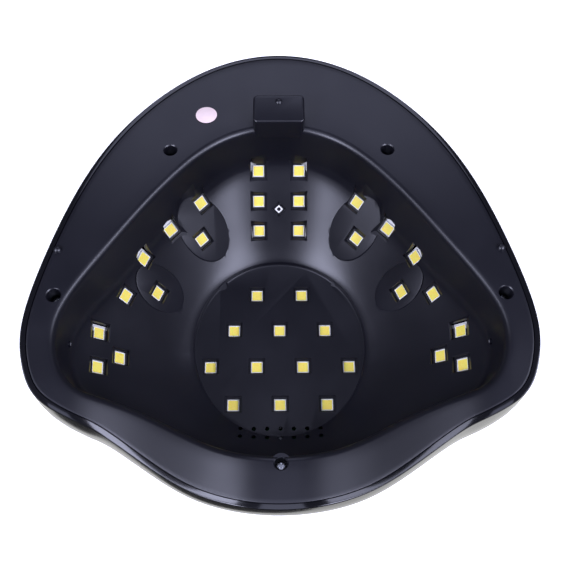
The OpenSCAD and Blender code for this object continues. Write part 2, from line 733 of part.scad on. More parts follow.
module display_module() {
    color("#303036") lamp_frame() panel_frame() translate([0, WINDOW_Y, CONTROL_Z + 0.02]) {
        translate([-11.8, -4.8, 0]) cube([23.6, 9.6, 5.2]);
    }
}

module button(i) {
    color(CAP_GREY) lamp_frame() panel_frame() translate([BUTTONS_X[i], BUTTON_Y, 0]) {
        rotate_extrude($fn = 64) polygon([[0, -3.1], [1.6, -3.1], [1.6, -2.9], [5.2, -2.9],
            [5.2, -2.15], [button_d / 2, -2.15], [button_d / 2, button_proud - 0.4],
            [button_d / 2 - 0.4, button_proud], [0, button_proud]]);
    }
}

module plunger(i) {
    color("#1c1c1e") lamp_frame() panel_frame() translate([BUTTONS_X[i], BUTTON_Y, -5.2])
        cylinder(r = 1.65, h = 2.05, $fn = 32);
}

module button_10() { button(0); }
module button_30() { button(1); }
module button_60() { button(2); }
module button_99() { button(3); }
module plunger_10() { plunger(0); }
module plunger_30() { plunger(1); }
module plunger_60() { plunger(2); }
module plunger_99() { plunger(3); }

module tact_switches() {
    color("#3a3a3e") lamp_frame() panel_frame() for (x = BUTTONS_X)
        translate([x, BUTTON_Y, CONTROL_Z + 0.02]) difference() {
            translate([-3, -3, 0]) cube([6, 6, 3.4]);
            translate([0, 0, 1.2]) cylinder(r = 1.8, h = 4, $fn = 32);
        }
}

module control_board() {
    color(BOARD_GREEN) lamp_frame() panel_frame() translate([0, 0, CONTROL_Z - 1.2]) difference() {
        translate([-30, -13, 0]) cube([60, 26, 1.2]);
        for (q = PANEL_POSTS) translate([q.x, q.y, -1]) cylinder(r = 1, h = 4, $fn = 20);
    }
}

module control_board_screws() {
    color(STEEL) lamp_frame() panel_frame() for (q = PANEL_POSTS)
        translate([q.x, q.y, CONTROL_Z - 1.2 - 1.25]) rotate([180, 0, 0]) small_screw(1.7, 0.7, 5);
}

// Insulated leads: round wire through a list of points
module lead(path, r) {
    for (i = [0 : len(path) - 2]) hull() {
        translate(path[i]) sphere(r, $fn = 6);
        translate(path[i + 1]) sphere(r, $fn = 6);
    }
}

module socket_leads() {
    color("#b3262a") lamp_frame() both_sides()
        lead([[3, 86.5, 11.04], [3.6, 88.5, 20], [5, 86, 40], [6, 76, 62], [6, 61.5, 78.36]], 0.7);
}

// Point behind a group's board, some way up its slope
function behind(g, up) = g[0]
    + up * [-cos(g[2]) * cos(g[1]), -sin(g[2]) * cos(g[1]), sin(g[1])]
    + (g[3] + led_h + board_t + 0.75) * [cos(g[2]) * sin(g[1]), sin(g[2]) * sin(g[1]), cos(g[1])];

// One lead from the driver board to each side group and to the back group
module light_leads() {
    color("#d8d8d2") lamp_frame() {
        both_sides() {
            lead([[31.5, 46, 80.2], [40, 50, 68], behind(UPPER, 2)], 0.6);
            lead([[31.5, 36, 80.2], [50, 30, 70], behind(MIDDLE, 1)], 0.6);
            lead([[31.5, 31, 81.2], [58, 14, 70], behind(LOWER, 6)], 0.6);
        }
        lead([[0, 64.5, 80.2], [0, 73, 70], behind(BACK, 5)], 0.6);
    }
}

module panel_ribbon() {
    color("#cfcfd4") lamp_frame() {
        hull() {
            translate([-5, -26, 76.6]) cube([10, 1, 0.6]);
            translate([-5, 0, 83]) cube([10, 1, 0.6]);
        }
        hull() {
            translate([-5, 0, 83]) cube([10, 1, 0.6]);
            translate([-5, 26.2, 81.2]) cube([10, 1, 0.6]);
        }
    }
}

module case_screws() {
    color(STEEL) lamp_frame() for (q = CASE_SCREWS)
        translate([q.x, q.y, rim_z(q) + well_depth - 1.9]) rotate([180, 0, 0])
            difference() {
                union() {
                    translate([0, 0, -1.85]) cylinder(r = 2.5, h = 1.85, $fn = 32);
                    translate([0, 0, -15.5]) cylinder(r = 1.4, h = 14, $fn = 24);
                }
                for (a = [0, 90]) rotate([0, 0, a]) cube([2.8, 0.7, 1.8], center = true);
            }
}

// Round paper seal on the rear rim, which slopes a little there
SEAL = [32.2, 88.5];
SEAL_R = 4.7;
module round_seal() {
    color(SEAL_PINK) lamp_frame() translate(on_rim(SEAL, -0.42)) rotate([7.3, 0, 0])
        cylinder(r = SEAL_R, h = 0.15, $fn = 64);
}

liner();
top_shell();
control_panel();
display_window();
display_module();
button_10();
button_30();
button_60();
button_99();
plunger_10();
plunger_30();
plunger_60();
plunger_99();
tact_switches();
control_board();
control_board_screws();
ceiling_board();
ceiling_leds();
ceiling_board_screws();
back_board();
back_leds();
hand_sensor();
upper_left_board();
upper_left_leds();
upper_right_board();
upper_right_leds();
middle_left_board();
middle_left_leds();
middle_right_board();
middle_right_leds();
lower_left_board();
lower_left_leds();
lower_right_board();
lower_right_leds();
side_board_screws();
beam_emitter();
beam_receiver();
driver_board();
driver_capacitors();
driver_inductor();
driver_transistors();
driver_board_screws();
dc_socket();
dc_socket_pin();
socket_leads();
light_leads();
panel_ribbon();
case_screws();
round_seal();
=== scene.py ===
# Nail lamp with 36 light-emitting diodes. The photograph shows it from below, lying on
# the top of its dome, so the camera stands under the table plane and looks up.
import math
import bmesh
import bpy
import numpy as np
from mathutils import Matrix, Vector
from mathutils.bvhtree import BVHTree


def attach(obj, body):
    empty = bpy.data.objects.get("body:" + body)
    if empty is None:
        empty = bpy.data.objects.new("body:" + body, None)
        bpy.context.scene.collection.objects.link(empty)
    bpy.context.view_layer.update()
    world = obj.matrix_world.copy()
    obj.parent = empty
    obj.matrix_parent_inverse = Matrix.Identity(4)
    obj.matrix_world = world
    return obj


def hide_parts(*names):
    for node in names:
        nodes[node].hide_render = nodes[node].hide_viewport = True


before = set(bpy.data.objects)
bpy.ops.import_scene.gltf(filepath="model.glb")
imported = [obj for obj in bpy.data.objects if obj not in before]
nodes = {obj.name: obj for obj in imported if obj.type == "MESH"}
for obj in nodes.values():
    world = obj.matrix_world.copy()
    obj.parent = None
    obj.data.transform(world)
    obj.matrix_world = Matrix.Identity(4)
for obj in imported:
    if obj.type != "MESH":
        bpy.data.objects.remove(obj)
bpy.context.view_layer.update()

# Camera
# A 51 mm lens at about 0.36 m from the middle of the hollow, tipped 24 degrees from straight
# up, with the small turn and roll that the photographer's hand gave it.
MM = 0.001
MID_Y = 24.3
TILT, TURN, ROLL = math.radians(24), math.radians(0.67), math.radians(-0.33)
ahead = Vector((0, math.sin(TILT), math.cos(TILT)))
upwards = Vector((0, math.cos(TILT), -math.sin(TILT)))
right = ahead.cross(upwards)
gaze = math.cos(TURN) * ahead + math.sin(TURN) * right
side = math.cos(TURN) * right - math.sin(TURN) * ahead
across = math.cos(ROLL) * side + math.sin(ROLL) * upwards
along = math.cos(ROLL) * upwards - math.sin(ROLL) * side
lens = bpy.data.cameras.new("camera")
lens.sensor_width = 36
lens.lens = 36 * 800 / 567
camera = bpy.data.objects.new("camera", lens)
camera.matrix_world = Matrix.Translation(Vector((2.4725, -125.2375 - MID_Y, -286.545)) * MM) \
    @ Matrix((across, along, -gaze)).transposed().to_4x4()
bpy.context.collection.objects.link(camera)
bpy.context.scene.camera = camera
bpy.context.scene.view_settings.view_transform = "Standard"


# Lower shell
# Satin black ABS in one moulding: the flange that stands on the table, the curved wall and
# shoulder round the hand, and the flat round ceiling. Lights shine in through square windows.
# Five screws in wells hold it to the top shell.
HALF_W, REAR, FRONT, TOP_Z, CEILING_Z = 99.3, 126.6, 78.0, 96.0, 68.5
WALL, SEAM, EDGE_R = 2.2, 0.2, 3.0
BLEND, BLEND_DROP = 7.0, 3.15
SHELL_STATIONS = ((0, 1), (0.342, 0.918), (0.629, 0.707), (0.821, 0.442), (0.941, 0.145),
                  (1, -0.154), (0.981, -0.385), (0.911, -0.551), (0.775, -0.651),
                  (0.673, -0.708), (0.498, -0.846), (0.292, -0.959), (0, -1))
HOLLOW_STATIONS = ((0, 0.637), (0.252, 0.581), (0.438, 0.442), (0.569, 0.304), (0.71, 0.137),
                   (0.846, -0.077), (0.862, -0.308), (0.801, -0.46), (0.715, -0.513),
                   (0.599, -0.546), (0.428, -0.619), (0.242, -0.695), (0, -0.718))


def plan_loop(stations, steps=12):
    """Smooth closed curve in plan through both halves' stations, from the rear, clockwise."""
    half = [(x * HALF_W, y * (REAR if y > 0 else FRONT)) for x, y in stations]
    knots = np.array(half + [(-x, y) for x, y in half[-2:0:-1]])
    n = len(knots)
    pull = 4 * np.eye(n) + np.roll(np.eye(n), 1, 0) + np.roll(np.eye(n), -1, 0)
    slopes = np.linalg.solve(pull, 3 * (np.roll(knots, -1, 0) - np.roll(knots, 1, 0)))
    loop = []
    for i in range(n):
        a, b, m, k = knots[i], knots[(i + 1) % n], slopes[i], slopes[(i + 1) % n]
        for t in np.arange(steps) / steps:
            loop.append((2 * t**3 - 3 * t**2 + 1) * a + (t**3 - 2 * t**2 + t) * m
                        + (3 * t**2 - 2 * t**3) * b + (t**3 - t**2) * k)
    loop = np.array(loop)
    for _ in range(4):
        loop = 0.5 * loop + 0.25 * (np.roll(loop, 1, 0) + np.roll(loop, -1, 0))
    return loop


def moved_out(loop, d):
    """The loop moved along its outward normals."""
    t = np.roll(loop, -1, 0) - np.roll(loop, 1, 0)
    return loop + d * np.stack((-t[:, 1], t[:, 0]), 1) / np.linalg.norm(t, axis=1)[:, None]


def rim_z(x, y):
    """Underside of the rim: an arch over the hand at the front, a slow rise at the rear."""
    if y < -25:
        return 42 * max(0.0, math.cos(math.pi / 2 * min(1, abs(x) / 86))) ** 1.6
    return 14 * (max(0, y + 15) / (REAR + 13.4)) ** 1.5


def on_rim(loop, up=0.0):
    return np.array([(x, y, rim_z(x, y) + up) for x, y in loop])


def hollow_rings(loop, shares, grow=0.0, drop=0.0):
    """Rings of the hollow's wall and shoulder; share 0 is at the rim and 1 at the ceiling.
    The drop makes the shoulder flatten out above the ceiling's edge, most at rear and sides."""
    wall_foot = on_rim(loop, EDGE_R)
    rings = [[] for _ in shares]
    for e, foot in zip(loop, wall_foot):
        v = e - (0, 0.4)
        rx, ry, z_top = 40 + grow * 0.4, 42.6 + grow * 0.4, CEILING_Z + grow
        d = np.array((0, 0.4)) + v / math.hypot(v[0] / rx, v[1] / ry)
        out = e - d
        run = math.hypot(*out)
        bend = math.degrees(math.atan2(out[1], abs(out[0]))) - 32
        slope = 0.96 + 0.3 * max(0, math.cos(math.radians(1.7 * bend))) ** 2
        turn = d + out * (run - 0.8) / run
        corner = np.array((*turn, z_top - (run - 0.8) * slope))
        top = np.array((*d, z_top))
        rearward = min(1, max(0.15, (out[1] / run + 0.9) / 0.8))
        for ring, t in zip(rings, shares):
            a, b, c = (1 - t) ** 2, 20 * t * (1 - t), t * t
            spot = (a * foot + b * corner + c * top) / (a + b + c)
            spot[2] -= drop * slope * rearward * math.exp(-math.dist(spot[:2], d) / BLEND)
            ring.append(spot)
    return [np.array(r) for r in rings]


def placed(points):
    """Millimetres about the ceiling's axis, as metres in the shared frame."""
    return [Vector((p[0], p[1] - MID_Y, p[2])) * MM for p in points]


def lofted(rings, fill=True):
    """Closed skin over rings of equal length, from a grid whose seam is merged."""
    n, m = len(rings[0]), len(rings)
    spots = [placed(r) for r in rings]
    bm = bmesh.new()
    bmesh.ops.create_grid(bm, x_segments=n, y_segments=m - 1, size=0.5)
    for v in bm.verts:
        v.co = spots[round((v.co.y + 0.5) * (m - 1))][round((v.co.x + 0.5) * n) % n]
    bmesh.ops.remove_doubles(bm, verts=bm.verts, dist=2e-7)
    if fill:
        bmesh.ops.holes_fill(bm, edges=[e for e in bm.edges if e.is_boundary], sides=0)
    bmesh.ops.recalc_face_normals(bm, faces=bm.faces)
    return bm


def piece(name, bm, crease=32):
    """A finished mesh as an object, smooth but for edges sharper than the crease angle."""
    for f in bm.faces:
        f.smooth = True
    for e in bm.edges:
        e.smooth = len(e.link_faces) == 2 and e.calc_face_angle(4) < math.radians(crease)
    mesh = bpy.data.meshes.new(name)
    bm.to_mesh(mesh)
    bm.free()
    made = bpy.data.objects.new(name, mesh)
    bpy.context.collection.objects.link(made)
    return made


def carved(body, tool, how="DIFFERENCE"):
    """The body after an exact cut or join with the tool; both are bmeshes and are used up."""
    a, b = piece("body", body), piece("tool", tool)
    mod = a.modifiers.new("cut", "BOOLEAN")
    mod.operation, mod.object, mod.solver = how, b, "EXACT"
    done = a.evaluated_get(bpy.context.evaluated_depsgraph_get())
    bm = bmesh.new()
    bm.from_mesh(done.to_mesh())
    done.to_mesh_clear()
    for old in (a, b):
        mesh = old.data
        bpy.data.objects.remove(old)
        bpy.data.meshes.remove(mesh)
    bmesh.ops.dissolve_degenerate(bm, edges=bm.edges, dist=1e-7)
    return bm


def gathered(parts):
    """Several bmeshes in one."""
    whole = bmesh.new()
    for part in parts:
        mesh = bpy.data.meshes.new("part")
        part.to_mesh(mesh)
        part.free()
        whole.from_mesh(mesh)
        bpy.data.meshes.remove(mesh)
    return whole


shell_loop, hollow_loop = plan_loop(SHELL_STATIONS), plan_loop(HOLLOW_STATIONS)
rim_loop = moved_out(shell_loop, -WALL - SEAM)
wide_loop, back_loop = moved_out(hollow_loop, EDGE_R), moved_out(hollow_loop, WALL)
leg = [x / (20 * (1 - x)) for x in np.linspace(0, 0.9, 20)]
shares = leg + [1 - t for t in leg[::-1]]
inner = hollow_rings(hollow_loop, shares, drop=BLEND_DROP)
edge_ring = inner[-1]
step_h = CEILING_Z - edge_ring[:, 2]
outward = edge_ring[:, :2] - (0, 0.4)
outward /= np.linalg.norm(outward, axis=1)[:, None]


def stepped(shift, height):
    """The ceiling's edge moved outward and set at a height, both one value a point."""
    return np.column_stack((edge_ring[:, :2] + outward * shift[:, None], height))


ceiling_step = []
lip_r, root_r = np.minimum(0.6, 0.3 * step_h), np.minimum(0.9, 0.5 * step_h)
for a in np.radians((40, 65, 90)):
    ceiling_step.append(stepped(lip_r * (1 - math.sin(a)), edge_ring[:, 2] + lip_r * (1 - math.cos(a))))
for a in np.radians((0, 30, 60, 90)):
    ceiling_step.append(stepped(-root_r * (1 - math.cos(a)), CEILING_Z - root_r * (1 - math.sin(a))))
rounded = []
for a in np.radians(np.linspace(0, 90, 9)[:-1]):
    q = hollow_loop + (wide_loop - hollow_loop) * (1 - math.sin(a))
    rounded.append(on_rim(q, EDGE_R * (1 - math.cos(a))))
under = [on_rim(rim_loop + (wide_loop - rim_loop) * s, 0) for s in (0.12, 0.3, 0.5, 0.75)]
soft = 0.5
side_edge = [on_rim(moved_out(rim_loop, -soft * (1 - math.sin(a))), soft * (1 - math.cos(a)))
             for a in np.radians((90, 60, 30, 0))]
flange_top = [on_rim(rim_loop + (back_loop - rim_loop) * s, WALL) for s in (0, 0.25, 0.5, 0.75, 1)]
outer = hollow_rings(back_loop, [0, *shares[1::2]], WALL)
lower_shell = lofted(outer[::-1] + flange_top[::-1] + side_edge + under + rounded
                     + inner[:-1] + ceiling_step)

# Light groups: middle of the seat, slope, direction, and the places of the lights in the
# group's own plane, for the side at +X. Each group sits square to its slanting board.
RECESS, LIGHT_H, LIGHT_W, WINDOW_W = 1.4, 1.5, 5.4, 7.2
UPPER = ((35.2, 50.3, 45), 49.9, 44.5, ((6.6, -10.1), (-12.7, -9.8), (-2.9, 4.3)))
MIDDLE = ((53.9, 20.6, 46.3), 51.2, 23.6, ((6.9, -14.2), (-12, -13), (-1.7, 1.1)))
LOWER = ((73.6, -13.6, 34.1), 45.4, -2.3, ((8.5, -2.5), (-6.7, -2.5), (-0.4, 8.4)))
BACK = ((0, 65.6, 46), 44.1, 90,
        tuple((x, y) for y in (-14.3, 0.4, 15.1) for x in (-9.6, 9.6)))
BOARDS = {UPPER: ((-16.5, -14), (10, 7.5)), MIDDLE: ((-15.5, -18), (10.5, 4.5)),
          LOWER: ((-10.5, -6.5), (12.3, 12)), BACK: ((-15, -18.5), (15, 19))}
POSTS = {UPPER: ((5.5, 3), (-11.5, 3)), MIDDLE: ((6.5, -1), (-10.5, -1)),
         LOWER: ((7.5, 6.5), (-7.5, 6.5)), BACK: ((0, -14.3), (0, 15.1))}
CEILING = [((i - (n - 1) / 2) * 21.5, (1.5 - row) * 18.1)
           for row, n in enumerate((2, 3, 4, 3)) for i in range(n)]
CEILING_POSTS = [(32.5 * math.cos(math.radians(a)),
                  32.5 * math.sin(math.radians(a)) + (-2.2 if a == 270 else 3))
                 for a in (30, 150, 270)]
LEFT, RIGHT = Matrix.Identity(4), Matrix.Diagonal((-1, 1, 1, 1))
GROUPS = [(g, hand) for g in (UPPER, MIDDLE, LOWER) for hand in (LEFT, RIGHT)] + [(BACK, LEFT)]
lamp_frame = Matrix.Translation((0, -MID_Y * MM, 0)) @ Matrix.Scale(MM, 4)


def at_place(*spot):
    return lamp_frame @ Matrix.Translation(spot)


def group_frame(group, hand=LEFT):
    """Millimetres in a group's plane (+X along the wall, +Y up it, +Z away from the hand)."""
    spot, slope, heading = group[:3]
    return lamp_frame @ hand @ Matrix.Translation(spot) \
        @ Matrix.Rotation(math.radians(heading - 90), 4, "Z") \
        @ Matrix.Rotation(-math.radians(slope), 4, "X") @ Matrix.Diagonal((-1, -1, 1, 1))


def square(w, z, shift=(0, 0, 0), turned=0.0):
    """Corners of a square plate at a height."""
    r = w / math.sqrt(2)
    return [Vector((r * math.cos(math.radians(a + turned)) + shift[0],
                    r * math.sin(math.radians(a + turned)) + shift[1], z + shift[2]))
            for a in (45, 135, 225, 315)]


def hulled(points, at):
    bm = bmesh.new()
    for p in points:
        bm.verts.new(at @ p)
    done = bmesh.ops.convex_hull(bm, input=bm.verts)
    bmesh.ops.delete(bm, geom=done["geom_interior"], context="VERTS")
    bmesh.ops.dissolve_limit(bm, angle_limit=0.01, verts=bm.verts, edges=bm.edges)
    bmesh.ops.recalc_face_normals(bm, faces=bm.faces)
    return bm


def box_of(low, high, at):
    return hulled([Vector((x, y, z)) for x in (low[0], high[0]) for y in (low[1], high[1])
                   for z in (low[2], high[2])], at)


def rod(r, low, high, at, sides=24, r2=None):
    """A straight round rod, or a cone where r2 is given, along the frame's Z."""
    bm = bmesh.new()
    bmesh.ops.create_cone(bm, cap_ends=True, segments=sides, radius1=r,
                          radius2=r if r2 is None else r2, depth=high - low,
                          matrix=Matrix.Translation((0, 0, (low + high) / 2)))
    bmesh.ops.transform(bm, matrix=at, verts=bm.verts)
    bmesh.ops.recalc_face_normals(bm, faces=bm.faces)
    return bm


def window(group, spot, wide, hand=LEFT, turned=0.0):
    """A window's recess opens both square to its board and straight down, as the mould opens."""
    slope = math.radians(group[1])
    drop = Vector((0, math.sin(slope), math.cos(slope))) * -8
    at = group_frame(group, hand) @ Matrix.Translation((*spot, 0))
    return hulled(square(wide - 0.1, RECESS, turned=turned)
                  + square(wide, -5, turned=turned)
                  + square(wide - 0.1, RECESS, drop, turned), at), at


def mouth(hole, at, skin, half, chamfer=0.3, toward=(0, 0, -1)):
    """The narrow bevel where a hole leaves the skin: the hole's own outline, flared."""
    outward = (at.to_3x3() @ Vector(toward)).normalized()
    spot, normal, _, _ = skin.ray_cast(at.translation + outward * 0.008, -outward)
    if normal.dot(outward) < 0:
        normal = -normal
    bm = hole.copy()
    cut = bmesh.ops.bisect_plane(bm, geom=bm.verts[:] + bm.edges[:] + bm.faces[:], dist=1e-8,
                                 plane_co=spot - normal * chamfer * MM, plane_no=normal,
                                 clear_outer=True, clear_inner=True)
    outline = [e for e in cut["geom_cut"] if isinstance(e, bmesh.types.BMEdge)]
    face = bmesh.ops.contextual_create(bm, geom=outline)["faces"][0]
    middle = face.calc_center_median()
    rise = (chamfer + 1.2) * MM
    lip = [v for v in bmesh.ops.extrude_face_region(bm, geom=[face])["geom"]
           if isinstance(v, bmesh.types.BMVert)]
    bmesh.ops.translate(bm, verts=lip, vec=normal * rise)
    flat = normal.to_track_quat("Z", "Y").to_matrix().to_4x4()
    grow = 1 + rise / (half * MM)
    bmesh.ops.scale(bm, verts=lip, vec=(grow, grow, 1),
                    space=(Matrix.Translation(middle + normal * rise) @ flat).inverted())
    bmesh.ops.holes_fill(bm, edges=[e for e in bm.edges if e.is_boundary], sides=0)
    bmesh.ops.recalc_face_normals(bm, faces=bm.faces)
    return bm


def skin_of(bm):
    return BVHTree.FromBMesh(bm)


def slanted_disc(group, hand, radius, near, far, soft):
    """A disc, round from below, between two levels of a group's plane; the soft one is rounded."""
    x, y, z = group[0]
    disc = rod(radius, -25, 25, lamp_frame @ hand @ Matrix.Translation((x, y, z)), 96)
    frame_at = group_frame(group, hand)
    away = (frame_at.to_3x3() @ Vector((0, 0, 1))).normalized()
    for level, sense in ((near, -1), (far, 1)):
        spot = frame_at @ Vector((0, 0, level))
        cut = bmesh.ops.bisect_plane(
            disc, geom=disc.verts[:] + disc.edges[:] + disc.faces[:], dist=1e-8,
            plane_co=spot, plane_no=away * sense, clear_outer=True)
        rim = [e for e in cut["geom_cut"] if isinstance(e, bmesh.types.BMEdge)]
        bmesh.ops.contextual_create(disc, geom=rim)
        if level == soft:
            flat = [e for e in disc.edges if all(abs((v.co - spot).dot(away)) < 1e-6 for v in e.verts)]
            bmesh.ops.bevel(disc, geom=flat, offset=SEAT_SOFT * MM, segments=3, profile=0.5,
                            affect="EDGES", material=-1, clamp_overlap=True)
    bmesh.ops.recalc_face_normals(disc, faces=disc.faces)
    return disc


# Flat seats under the upper and middle groups, the socket's block, feet and screw bosses
SEAT_LEVEL, SEAT_SOFT = -0.4, 0.5
skin = skin_of(lower_shell)
added, clearings = [], []
for group, radius in ((UPPER, 11.6), (MIDDLE, 9.4)):
    for hand in (LEFT, RIGHT):
        added.append(slanted_disc(group, hand, radius, SEAT_LEVEL, 1.2, SEAT_LEVEL))
        clearings.append(slanted_disc(group, hand, radius - 0.25, -7, SEAT_LEVEL, SEAT_LEVEL))

BLOCK_W, BLOCK_Y, BLOCK_Z, BLOCK_TOP = 22.4, (79.3, 93.6), 0.9, 13
block = box_of((-BLOCK_W / 2, BLOCK_Y[0], BLOCK_Z), (BLOCK_W / 2, BLOCK_Y[1], BLOCK_TOP), lamp_frame)
upright = [e for e in block.edges if abs((e.verts[0].co - e.verts[1].co).z) > 5 * MM]
bmesh.ops.bevel(block, geom=upright, offset=2 * MM, segments=6, profile=0.5, affect="EDGES",
                material=-1, clamp_overlap=True)
low_edge = [e for e in block.edges if all(abs(v.co.z - BLOCK_Z * MM) < 1e-6 for v in e.verts)]
bmesh.ops.bevel(block, geom=low_edge, offset=0.9 * MM, segments=4, profile=0.5, affect="EDGES",
                material=-1, clamp_overlap=True)
added.append(block)

SCREWS = ((-47, 68.6), (47, 68.6), (-88.4, -1.8), (88.4, -1.8), (0, -59.2))
WELL_R, WELL_DEPTH, WELL_FLOOR = 2.8, 9.0, 2.4
feet = []
for x, y in ((89.2, 18.3), (-89.2, 18.3), (0, 90)):
    foot = bmesh.new()
    bmesh.ops.create_uvsphere(foot, u_segments=24, v_segments=14, radius=1.8,
                              matrix=Matrix.Translation((x, y, 1.8)))
    bmesh.ops.transform(foot, matrix=lamp_frame, verts=foot.verts)
    bmesh.ops.recalc_face_normals(foot, faces=foot.faces)
    feet.append(foot)
for x, y in SCREWS:
    base = rim_z(x, y)
    added.append(rod(WELL_R + 1.5, base + 1.1, base + WELL_DEPTH + WELL_FLOOR, at_place(x, y, 0), 32))
lower_shell = carved(lower_shell, gathered(clearings))
lower_shell = carved(lower_shell, gathered(added), "UNION")
lower_shell = carved(lower_shell, gathered(feet), "UNION")

# Posts behind the wall that the boards are screwed to; each foot follows the wall
posts = []
for x, y in ((-27, 31.5), (27, 31.5), (-20.5, 56.5), (20.5, 56.5)):
    post = rod(2.8, 0, 79, at_place(x, y, 0), 24)
    for v in post.verts:
        if v.co.z < 1e-4:
            v.co.z = skin.ray_cast(Vector((v.co.x, v.co.y, 0)), Vector((0, 0, 1)))[0].z + 1.1 * MM
    posts.append(post)
for x, y in CEILING_POSTS:
    posts.append(rod(2.4, CEILING_Z + 1.1, CEILING_Z + RECESS + LIGHT_H, at_place(x, y, 0), 24))
for group, hand in GROUPS:
    at = group_frame(group, hand)
    for x, y in POSTS[group]:
        post = rod(2, -2, RECESS + LIGHT_H, at @ Matrix.Translation((x, y, 0)), 20)
        away = (at.to_3x3() @ Vector((0, 0, 1))).normalized()
        for v in post.verts:
            if ((at.inverted() @ v.co).z) < -1.9:
                hit = skin.ray_cast(v.co - away * 0.008, away)[0]
                v.co = hit + away * 1.0 * MM
        posts.append(post)
lower_shell = carved(lower_shell, gathered(posts), "UNION")

# Windows, wells, vents and bores. A light window is a wide recess down to a shelf, and a narrow
# shaft round the light. A small bevel runs where the holes leave the skin, but for the vents and
# for the middle groups, whose windows break through the edge of their seat.
skin = skin_of(lower_shell)
holes, mouths, rooms, shafts = [], [], [], []
SHAFT_W, EYE_W, SHAFT_START, SHAFT_END = 5.8, 3.2, RECESS - 0.5, 3.4
for group, hand in GROUPS:
    for spot in group[3]:
        hole, at = window(group, spot, WINDOW_W, hand)
        if group is not MIDDLE:
            mouths.append(mouth(hole, at, skin, WINDOW_W / 2))
        holes.append(hole)
        shafts.append(hulled(square(SHAFT_W, SHAFT_START) + square(SHAFT_W - 0.05, SHAFT_END), at))
    (x0, y0), (x1, y1) = BOARDS[group]
    z0 = RECESS + LIGHT_H - 0.05
    rooms.append(box_of((x0 - 0.4, y0 - 0.4, z0), (x1 + 0.4, y1 + 0.4, z0 + 4),
                        group_frame(group, hand)))
hole, at = window(BACK, (0, 4.2), 4.4, LEFT, 45)
mouths.append(mouth(hole, at, skin, 2.2))
holes.append(hole)
shafts.append(hulled(square(EYE_W, SHAFT_START, turned=45)
                     + square(EYE_W - 0.05, SHAFT_END, turned=45), at))
for x, y in CEILING:
    at = at_place(x, y, CEILING_Z + 1)
    hole = hulled(square(WINDOW_W + 0.1, -4) + square(WINDOW_W - 0.1, RECESS - 1), at)
    mouths.append(mouth(hole, at, skin, WINDOW_W / 2))
    holes.append(hole)
    shafts.append(hulled(square(SHAFT_W, RECESS - 1.5) + square(SHAFT_W - 0.05, 3), at))
for x, y in SCREWS:
    at = at_place(x, y, rim_z(x, y) + 2)
    well = rod(WELL_R, -8, WELL_DEPTH - 2, at, 48)
    mouths.append(mouth(well, at, skin, WELL_R, 0.35))
    holes.append(well)
    rooms.append(rod(1.65, 5, 18, at, 24))
for y in (-38.6, -42.9):
    for i in range(7):
        x = (i - 3) * 6
        top = skin.ray_cast(at_place(x, y, 0).translation, Vector((0, 0, 1)))[0].z / MM
        at = at_place(x, y, top + 1)
        holes.append(rod(1, -6, 12, at, 20))
for hand in (LEFT, RIGHT):
    at = lamp_frame @ hand @ Matrix.Translation((84.4 + 1, -15.5, 18.9)) \
        @ Matrix.Rotation(math.radians(90), 4, "Y")
    bore = rod(1.3, -9, 10, at, 28)
    mouths.append(mouth(bore, at, skin, 1.3, 0.2))
    holes.append(bore)
lower_shell = carved(lower_shell, gathered(holes))
lower_shell = carved(lower_shell, gathered(mouths))
lower_shell = carved(lower_shell, gathered(shafts))
rooms.append(box_of((-5, 83.1, 1.9), (5, 91.6, 19.9), lamp_frame))
lower_shell = carved(lower_shell, gathered(rooms))
liner = piece("lower_shell", lower_shell, 28)
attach(liner, "housing")
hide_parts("liner")


def paint(code):
    """An sRGB hex colour as the linear values a shader socket takes."""
    parts = [int(code[i:i + 2], 16) / 255 for i in (1, 3, 5)]
    return (*[c / 12.92 if c < 0.04045 else ((c + 0.055) / 1.055) ** 2.4 for c in parts], 1)


def add_node(mat, kind, links=(), values=(), **settings):
    """One shader node: its links and values are by socket, its settings by name."""
    made = mat.node_tree.nodes.new("ShaderNode" + kind)
    for key, value in settings.items():
        setattr(made, key, value)
    for key, value in dict(values).items():
        made.inputs[key].default_value = value
    for key, source in dict(links).items():
        mat.node_tree.links.new(source, made.inputs[key])
    return made


def new_material(name, **values):
    """An empty material with its shader, set to the given values."""
    mat = bpy.data.materials.new(name)
    mat.use_nodes = True
    shader = mat.node_tree.nodes["Principled BSDF"]
    for key, value in values.items():
        shader.inputs[key.replace("_", " ")].default_value = value
    return mat, shader


def moulded(name, light, dark, rough, spread, grain_mm, depth_mm, cloud_mm=22, **values):
    """Injection-moulded plastic: a fine spark-eroded grain from the mould, and slow clouds of
    colour and gloss where the melt cooled unevenly."""
    mat, shader = new_material(name, **values)
    spot = add_node(mat, "TexCoord").outputs["Object"]
    cloud = add_node(mat, "TexNoise", {"Vector": spot},
                     {"Scale": 1000 / cloud_mm, "Detail": 3, "Roughness": 0.5})
    grain = add_node(mat, "TexNoise", {"Vector": spot},
                     {"Scale": 1000 / grain_mm, "Detail": 2, "Roughness": 0.6})
    tone = add_node(mat, "Mix", {0: cloud.outputs["Fac"]},
                    {6: paint(dark), 7: paint(light)}, data_type="RGBA")
    gloss = add_node(mat, "MapRange", {"Value": cloud.outputs["Fac"]},
                     {"From Min": 0.3, "From Max": 0.7, "To Min": rough - spread,
                      "To Max": rough + spread})
    bump = add_node(mat, "Bump", {"Height": grain.outputs["Fac"]},
                    {"Strength": 0.6, "Distance": depth_mm * MM})
    tie = mat.node_tree.links.new
    tie(tone.outputs[2], shader.inputs["Base Color"])
    tie(gloss.outputs["Result"], shader.inputs["Roughness"])
    tie(bump.outputs["Normal"], shader.inputs["Normal"])
    return mat


def dressed(target, *materials):
    """The object's material slots, filled in order."""
    if target.data.materials:
        target.data.materials.clear()
    for mat in materials:
        target.data.materials.append(mat)
    return target


